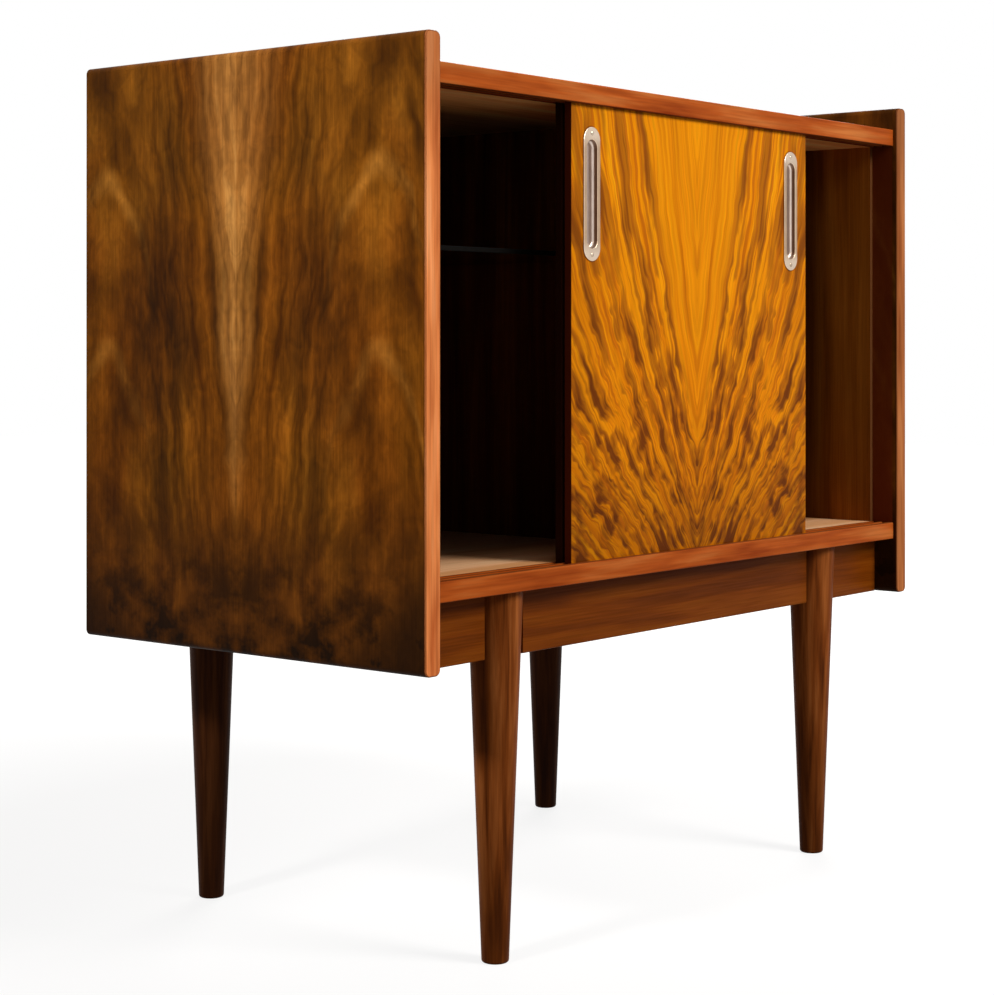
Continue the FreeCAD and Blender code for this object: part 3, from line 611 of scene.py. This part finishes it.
# Apron. Three lengths of rail under the front edge of the bottom board and three under its back, with
# a leg in each gap; dowelled to the board and backed by sawn glue blocks. Dark walnut, grain lengthwise.
rail_walnut, tree, place = new_finish("rail_walnut")
brown, fibre = straight_grain(tree, place, (4.0, 70.0, 70.0), ("#582603", "#6e3204", "#7e3f0a"), seed=1.0)
satin_lacquer(tree, brown, fibre)
dress(rail_walnut, "front_rail", "front_rail_left", "front_rail_right", "back_rail",
      "back_rail_left", "back_rail_right")
dress(bare_beech, "rail_blocks")

# Legs. Four turned, straight-tapered legs that screw onto bolts in the bottom board. Red-brown stained
# hardwood with upright grain and a satin lacquer; the back pair is painted darker, as painted shade, and
# all are darker at the foot.
for pair, lit_and_shaded_leg_browns in (
        ("front", ("#502409", "#7a3c13", "#9a5626")), ("back", ("#30160a", "#48240e", "#5e3418"))):
    stained_leg_with_painted_light, tree, place = new_finish(f"stained_leg_with_painted_light_{pair}")
    axes = add(tree, "SeparateXYZ", {0: place})
    red_brown, fibre = straight_grain(tree, place, (110.0, 110.0, 6.0), lit_and_shaded_leg_browns, seed=3.0)
    towards_foot = add(tree, "MapRange", {
        "Value": axes.outputs["Z"], "From Min": 0.02, "From Max": 0.24, "To Min": 0.55, "To Max": 1.0})
    darkened = add(tree, "VectorMath", {0: red_brown, "Scale": towards_foot}, operation="SCALE")
    satin_lacquer(tree, darkened, fibre)
    dress(stained_leg_with_painted_light, f"leg_{pair}_left", f"leg_{pair}_right")

# Sliding doors. Two thin panels that run in the grooves of the boards' front strips, one behind the
# other. Plywood faced with a showy golden veneer, two leaves opened like a book about the middle.


def leaf_fan(tree, place, spring, straighten):
    """Lines that fan out of a point below the leaf and past its seam, and straighten as they rise:
    their angle, and the distance along them in metres."""
    slow = add(tree, "Math", {0: place.outputs["Y"], 1: -straighten, 2: 1.0},
               operation="MULTIPLY_ADD")
    lift = add(tree, "Math", {0: place.outputs["Y"], 1: slow, 2: spring[1]},
               operation="MULTIPLY_ADD")
    out = add(tree, "Math", {0: place.outputs["X"], 1: spring[0]}, operation="ADD")
    angle = add(tree, "Math", {0: out, 1: lift}, operation="ARCTAN2")
    ray = add(tree, "CombineXYZ", {"X": out, "Y": lift})
    reach = add(tree, "VectorMath", {0: ray}, operation="LENGTH")
    return angle, reach.outputs["Value"]


def flame_veneer(name, seam, half_width, sill, seed, edge_stain_and_shade, dark_edge_width, pull):
    """Golden flamed veneer: a plain amber wedge on the seam with its point down, and dark wavy flames
    that fan out beside it and break into short dashes below. The upright edges are stained dark and
    darkened further by painted shade, the rear door's most."""
    veneer, tree, place = new_finish(name)
    axes = add(tree, "SeparateXYZ", {0: place})
    swayed, plain = book_leaf(
        tree, axes.outputs["X"], axes.outputs["Z"], seam, sill, sway=0.014, seed=seed)
    leaf = add(tree, "SeparateXYZ", {0: plain})
    angle, along = leaf_fan(tree, swayed, spring=(0.127, 0.2), straighten=0.7356)

    # Curl: a ripple about 24 mm long that makes every line wavy, more so low down
    fan = add(tree, "CombineXYZ", {"X": angle, "Y": along})
    curl = grain(tree, fan, (14.0, 42.0, 1.0), (0.0, 0.0, seed + 20.0), Detail=2.0, Roughness=0.55)
    curl_swing = add(tree, "Math", {0: curl, 1: 0.5}, operation="SUBTRACT")
    ripple = add(tree, "MapRange", {
        "Value": leaf.outputs["Y"], "From Min": 0.12, "From Max": 0.34, "To Min": 0.045, "To Max": 0.016})
    wavy = add(tree, "Math", {0: curl_swing, 1: ripple, 2: angle}, operation="MULTIPLY_ADD")

    # Flames: ribbons about 10 mm apart and 80 mm long, which break up lower down
    wavy_fan = add(tree, "CombineXYZ", {"X": wavy, "Y": along})
    flame = grain(tree, wavy_fan, (42.0, 12.0, 1.0), (0.0, 0.0, seed),
                  Detail=2.0, Roughness=0.45, Distortion=0.3)
    low = add(tree, "MapRange", {
        "Value": leaf.outputs["Y"], "From Min": 0.34, "From Max": 0.08, "To Min": 0.12, "To Max": 0.76})
    broken = add(tree, "Math", {0: curl_swing, 1: low, 2: flame}, operation="MULTIPLY_ADD")

    # The plain wedge, where the ribbons fade out, a dark pair of lines along its edge, and the dark roots
    # of the flames on the seam below its point
    wedge_edge = 0.425
    outside = add(tree, "MapRange", {
        "Value": wavy, "From Min": 0.385, "From Max": 0.43, "To Min": 0.12}, interpolation_type="SMOOTHSTEP")
    from_border = add(tree, "Math", {
        0: add(tree, "Math", {0: wavy, 1: wedge_edge}, operation="SUBTRACT")}, operation="ABSOLUTE")
    border = add(tree, "MapRange", {
        "Value": from_border, "From Min": 0.03, "From Max": 0.004, "To Max": 0.06},
        interpolation_type="SMOOTHSTEP")
    border_fade = add(tree, "MapRange", {
        "Value": leaf.outputs["Y"], "From Min": 0.26, "From Max": 0.4, "To Min": 1.0, "To Max": -0.4})
    bordered = add(tree, "Math", {
        0: broken, 1: add(tree, "Math", {0: border, 1: border_fade}, operation="MULTIPLY")},
        operation="SUBTRACT")
    root = add(tree, "MapRange", {
        "Value": leaf.outputs["X"], "From Min": 0.024, "From Max": 0.004, "To Max": 0.09},
        interpolation_type="SMOOTHSTEP")
    root_fade = add(tree, "MapRange", {
        "Value": leaf.outputs["Y"], "From Min": 0.12, "From Max": 0.07}, interpolation_type="SMOOTHSTEP")
    marked = add(tree, "Math", {
        0: bordered, 1: add(tree, "Math", {0: root, 1: root_fade}, operation="MULTIPLY")},
        operation="SUBTRACT")
    ribbon = add(tree, "Math", {
        0: add(tree, "MapRange", {"Value": marked, "From Min": 0.56, "From Max": 0.43, "To Max": 0.72},
               interpolation_type="SMOOTHSTEP"),
        1: outside}, operation="MULTIPLY")

    # Each ribbon's dark core, frayed by hair lines about 4 mm apart and deeper in colour lower down
    hair = grain(tree, wavy_fan, (110.0, 12.0, 1.0), (0.0, 0.0, seed + 60.0), Detail=2.0, Roughness=0.6)
    fraying = 0.4
    core_level = add(tree, "Math", {
        0: add(tree, "Math", {0: hair, 1: 0.5}, operation="SUBTRACT"), 1: fraying, 2: marked},
        operation="MULTIPLY_ADD")
    core_depth = add(tree, "MapRange", {
        "Value": leaf.outputs["Y"], "From Min": 0.14, "From Max": 0.36, "To Min": 0.8, "To Max": 0.5})
    core = add(tree, "Math", {
        0: add(tree, "MapRange", {
            "Value": core_level, "From Min": 0.445, "From Max": 0.3, "To Max": core_depth},
            interpolation_type="SMOOTHSTEP"),
        1: outside}, operation="MULTIPLY")

    # Dashes: small dark strokes about 6 mm wide and 37 mm long, between the flames in the lower half
    dash = grain(tree, wavy_fan, (68.0, 27.0, 1.0), (0.0, 0.0, seed + 80.0),
                 Detail=2.0, Roughness=0.5, Distortion=0.4)
    low_down = add(tree, "MapRange", {
        "Value": leaf.outputs["Y"], "From Min": 0.3, "From Max": 0.12, "To Max": 0.55},
        interpolation_type="SMOOTHSTEP")
    dashed = add(tree, "Math", {
        0: add(tree, "MapRange", {
            "Value": dash, "From Min": 0.48, "From Max": 0.34}, interpolation_type="SMOOTHSTEP"),
        1: add(tree, "Math", {0: low_down, 1: outside}, operation="MULTIPLY")},
        operation="MULTIPLY")

    # Amber ground with faint lines 7 mm apart along the fan, more orange low down, then reddish streaks,
    # the ribbons, dashes and cores over it, all of it dull towards the foot and the sides
    ground = grain(tree, fan, (60.0, 4.0, 1.0), (0.0, 0.0, seed + 40.0), Detail=3.0, Roughness=0.6)
    amber = add(tree, "ValToRGB", {"Fac": ground}, stops=(
        (0.28, "#bd6200"), (0.68, "#f29e08"), (0.46, "#e08402")))
    orange = add(tree, "Mix", {
        "Factor": add(tree, "MapRange", {
            "Value": leaf.outputs["Y"], "From Min": 0.36, "From Max": 0.14, "To Max": 0.4}),
        "A": amber, "B": to_linear("#d87406")}, data_type="RGBA")
    streak = add(tree, "MapRange", {
        "Value": hair, "From Min": 0.5, "From Max": 0.36, "To Max": 0.7}, interpolation_type="SMOOTHSTEP")
    reddened = add(tree, "Mix", {
        "Factor": add(tree, "Math", {0: streak, 1: outside}, operation="MULTIPLY"),
        "A": orange, "B": to_linear("#b4580a")}, data_type="RGBA")
    browned = add(tree, "Mix", {"Factor": ribbon, "A": reddened, "B": to_linear("#954e0a")},
                  data_type="RGBA")
    stroked = add(tree, "Mix", {"Factor": dashed, "A": browned, "B": to_linear("#803a06")},
                  data_type="RGBA")
    figured = add(tree, "Mix", {"Factor": core, "A": stroked, "B": to_linear("#602804")},
                  data_type="RGBA")
    dull_foot = add(tree, "MapRange", {
        "Value": leaf.outputs["Y"], "From Min": 0.13, "From Max": 0.0, "To Min": 1.0, "To Max": 0.7},
        interpolation_type="SMOOTHSTEP")
    dull_side = add(tree, "MapRange", {
        "Value": leaf.outputs["X"], "From Min": 0.13, "From Max": 0.21, "To Min": 1.0, "To Max": 0.88},
        interpolation_type="SMOOTHSTEP")
    dulled = add(tree, "VectorMath", {
        0: figured, "Scale": add(tree, "Math", {0: dull_foot, 1: dull_side}, operation="MULTIPLY")},
        operation="SCALE")

    # Fibre lines 1.6 mm apart along the fan, drawn twice as coarse as they are so that they show
    fibre = grain(tree, fan, (260.0, 16.0, 1.0), Detail=2.0)
    shade = add(tree, "MapRange", {
        "Value": fibre, "From Min": 0.3, "From Max": 0.7, "To Min": 0.86, "To Max": 1.1})
    coloured = add(tree, "VectorMath", {0: dulled, "Scale": shade}, operation="SCALE")

    # Painted shade: a dark ring in the wood round the pulls, which stand at the same distance from the seam
    pull_shade_width = 0.002
    pull_low, pull_high = pull
    pull_middle = (pull_low + pull_high) / 2
    round_end = (pull_high.x - pull_low.x) / 2
    straight_half = (pull_high.z - pull_low.z) / 2 - round_end
    off_pull = add(tree, "VectorMath", {
        0: plain, 1: (abs(pull_middle.x - seam), pull_middle.z - sill, seed)}, operation="SUBTRACT")
    from_pull = add(tree, "VectorMath", {0: off_pull}, operation="ABSOLUTE")
    past_straight = add(tree, "VectorMath", {0: from_pull, 1: (0.0, straight_half, 0.0)},
                        operation="SUBTRACT")
    outward = add(tree, "VectorMath", {0: past_straight, 1: (0.0, 0.0, 0.0)}, operation="MAXIMUM")
    pull_shade_ring = add(tree, "MapRange", {
        "Value": add(tree, "VectorMath", {0: outward}, operation="LENGTH").outputs["Value"],
        "From Min": round_end + pull_shade_width, "From Max": round_end, "To Max": 0.6},
        interpolation_type="SMOOTHSTEP")
    pull_shaded = add(tree, "Mix", {"Factor": pull_shade_ring, "A": coloured, "B": to_linear("#4a2004")},
                 data_type="RGBA")
    # Painted shade on the upright edges, over their stain: dark on the front door, darker and wider on the
    # rear.
    at_edge = add(tree, "Math", {0: leaf.outputs["X"], 1: half_width - dark_edge_width},
                  operation="GREATER_THAN")
    edged = add(tree, "Mix", {"Factor": at_edge, "A": pull_shaded, "B": to_linear(edge_stain_and_shade)},
                data_type="RGBA")
    satin_lacquer(tree, edged, fibre)
    return veneer


# The rear door's edges carry the darkest painted shade, which runs on over a narrow margin of its face
for row, seed, edge_stain_and_shade, dark_edge_width in (
        ("front", 8.1, "#5c240e", 0.0003), ("rear", 2.0, "#2a1006", 0.0045)):
    door_low, door_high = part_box(f"{row}_door_panel")
    seam, half_width = (door_low.x + door_high.x) / 2, (door_high.x - door_low.x) / 2
    veneer = flame_veneer(f"flame_veneer_{row}", seam, half_width, bay_floor, seed, edge_stain_and_shade, dark_edge_width,
                          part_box(f"{row}_pull_left"))
    dress(veneer, f"{row}_door_panel")

# Pulls. Pressed metal cups let into the doors near each upright edge, with a rim on the face and a
# flat land at both ends that a round-headed pin holds. Nickel plate, with painted highlights and painted
# reflections in its colour.


def nickel_with_painted_light(name, rim_face, middle, half_length):
    """Nickel plate with painted light: a warm rim with painted highlights on its rounded edges, painted dark
    brown reflections on the walls of the cup, and a floor with a painted highlight where it turns up into
    the wall. Both ends carry painted highlights."""
    nickel, tree, place = new_finish(name)
    axes = add(tree, "SeparateXYZ", {0: place})
    cup_depth = 0.0061
    depth = add(tree, "MapRange", {
        "Value": axes.outputs["Y"], "From Min": rim_face, "From Max": rim_face + cup_depth})
    tarnish = add(tree, "TexNoise", {"Vector": place, "Scale": 90.0, "Detail": 2.0})
    uneven = add(tree, "MapRange", {
        "Value": tarnish, "From Min": 0.3, "From Max": 0.7, "To Min": 0.9, "To Max": 1.06})
    # Painted light by depth: highlights on the rim's edges and at the foot of the walls, dark reflections on
    # the walls.
    painted_light_by_depth = add(tree, "ValToRGB", {"Fac": depth}, stops=(
        (0.0, "#b6987a"), (0.97, "#b8a498"), (0.015, "#e8d2b6"), (0.06, "#d2b292"), (0.11, "#8e705a"),
        (0.2, "#7a5e4a"), (0.58, "#866a58"), (0.78, "#dccabc")))
    from_middle = add(tree, "Math", {
        0: add(tree, "Math", {0: axes.outputs["Z"], 1: middle}, operation="SUBTRACT")},
        operation="ABSOLUTE")
    # Painted highlights towards both ends.
    towards_end = add(tree, "MapRange", {
        "Value": from_middle, "From Min": half_length - 0.022, "From Max": half_length - 0.006,
        "To Max": 0.35}, interpolation_type="SMOOTHSTEP")
    ends_highlighted = add(tree, "Mix", {"Factor": towards_end, "A": painted_light_by_depth, "B": to_linear("#fbf0e2")},
                   data_type="RGBA")
    tint = add(tree, "VectorMath", {0: ends_highlighted, "Scale": uneven}, operation="SCALE")
    mark = grain(tree, place, (900.0, 900.0, 30.0), Detail=2.0)
    gloss = add(tree, "MapRange", {
        "Value": mark, "From Min": 0.3, "From Max": 0.7, "To Min": 0.26, "To Max": 0.38})
    surface = add(tree, "BsdfPrincipled", {"Base Color": tint, "Metallic": 1.0, "Roughness": gloss})
    add(tree, "OutputMaterial", {"Surface": surface})
    return nickel


PIN_HEAD = 0.0046
pin_nickel = worked_metal("pin_nickel", ("#a08c78", "#c9b8a2"), roughness=0.26)
for row in ("front", "rear"):
    rim_low, rim_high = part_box(f"{row}_pull_left")
    middle, half_length = (rim_low.z + rim_high.z) / 2, (rim_high.z - rim_low.z) / 2
    dress(nickel_with_painted_light(f"nickel_with_painted_light_{row}", rim_low.y, middle, half_length),
          f"{row}_pull_left", f"{row}_pull_right")
    pins_low, pins_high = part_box(f"{row}_pull_pins")
    drive_pins(f"{row}_pull_pins", f"{row}_sliding_door", "pull_metal", {
        "Columns": 2, "Column Spacing": pins_high.x - pins_low.x - PIN_HEAD,
        "Rows": 2, "Row Spacing": pins_high.z - pins_low.z - PIN_HEAD,
        "Head Diameter": PIN_HEAD, "Head Height": 0.0008, "Shank Diameter": 0.0018, "Shank Length": 0.0065,
        "Turn": (math.pi / 2, 0.0, 0.0),
        "Centre": ((pins_low.x + pins_high.x) / 2, rim_low.y, (pins_low.z + pins_high.z) / 2),
        "Seed": 4, "Finish": pin_nickel})

# Floor, light and camera. A white floor and backdrop, a broad lamp in front, a narrow soft beam on the
# left panel, a broad, weaker lamp from the back right, and the camera where the photograph was taken from.


def seen_plainly(tree):
    """1 for what is looked at, straight or in metal and glass, and 0 for what only lights the piece."""
    seen = add(tree, "LightPath")
    direct = add(tree, "Math", {0: seen.outputs["Is Camera Ray"], 1: seen.outputs["Is Glossy Ray"]},
                 operation="MAXIMUM")
    return add(tree, "Math", {0: direct, 1: seen.outputs["Is Transmission Ray"]}, operation="MAXIMUM")


floor_mesh = bpy.data.meshes.new("studio_floor")
floor_mesh.from_pydata([(-9, -9, 0), (9, -9, 0), (9, 9, 0), (-9, 9, 0)], [], [(0, 1, 2, 3)])
studio_floor = bpy.data.objects.new("studio_floor", floor_mesh)
bpy.context.scene.collection.objects.link(studio_floor)
white_floor, tree, place = new_finish("white_floor")
distance = add(tree, "VectorMath", {0: place}, operation="LENGTH")
far_out = add(tree, "MapRange", {
    "Value": distance.outputs["Value"], "From Min": 0.7, "From Max": 1.8, "To Min": 0.82, "To Max": 1.0})
paint = add(tree, "BsdfDiffuse", {"Color": to_linear("#7e7c7a")})
glow = add(tree, "Emission", {
    "Color": (1.0, 1.0, 1.0, 1.0),
    "Strength": add(tree, "Math", {0: seen_plainly(tree), 1: far_out}, operation="MULTIPLY")})
add(tree, "OutputMaterial", {"Surface": add(tree, "AddShader", {0: paint, 1: glow})})
floor_mesh.materials.append(white_floor)

studio = bpy.data.worlds.new("studio")
studio.use_nodes = True
tree = studio.node_tree
tree.nodes.clear()
level = add(tree, "MapRange", {"Value": seen_plainly(tree), "To Min": 0.3, "To Max": 1.0})
add(tree, "OutputWorld", {"Surface": add(tree, "Background", {
    "Color": (1.0, 1.0, 1.0, 1.0), "Strength": level})})
bpy.context.scene.world = studio

for name, spot, aim, size, spread, power in (
        ("key_lamp", (0.5, -2.75, 2.25), (0.0, 0.0, 0.5), 1.4, 180.0, 90.0),
        ("side_lamp", (-2.6, 0.0, 2.1), (-0.425, -0.04, 0.74), 0.5, 26.0, 2.5),
        ("back_lamp", (2.7, 1.6, 1.7), (0.1, 0.1, 0.5), 1.8, 180.0, 62.0)):
    lamp = bpy.data.lights.new(name, "AREA")
    lamp.shape = "DISK"
    lamp.size = size
    lamp.energy = power
    lamp.spread = math.radians(spread)
    holder = bpy.data.objects.new(name, lamp)
    holder.location = spot
    holder.rotation_euler = (Vector(aim) - Vector(spot)).to_track_quat("-Z", "Y").to_euler()
    bpy.context.scene.collection.objects.link(holder)

lens = bpy.data.cameras.new("camera")
lens.lens = 79.26
lens.sensor_width = 36.0
lens.shift_x = -0.0008
lens.shift_y = -0.1622
camera = bpy.data.objects.new("camera", lens)
camera.location = (-1.8502, -1.4595, 0.5733)
camera.rotation_euler = (math.radians(90.112), 0.0, math.radians(-50.919))
bpy.context.scene.collection.objects.link(camera)
bpy.context.scene.camera = camera
bpy.context.scene.view_settings.view_transform = "Standard"
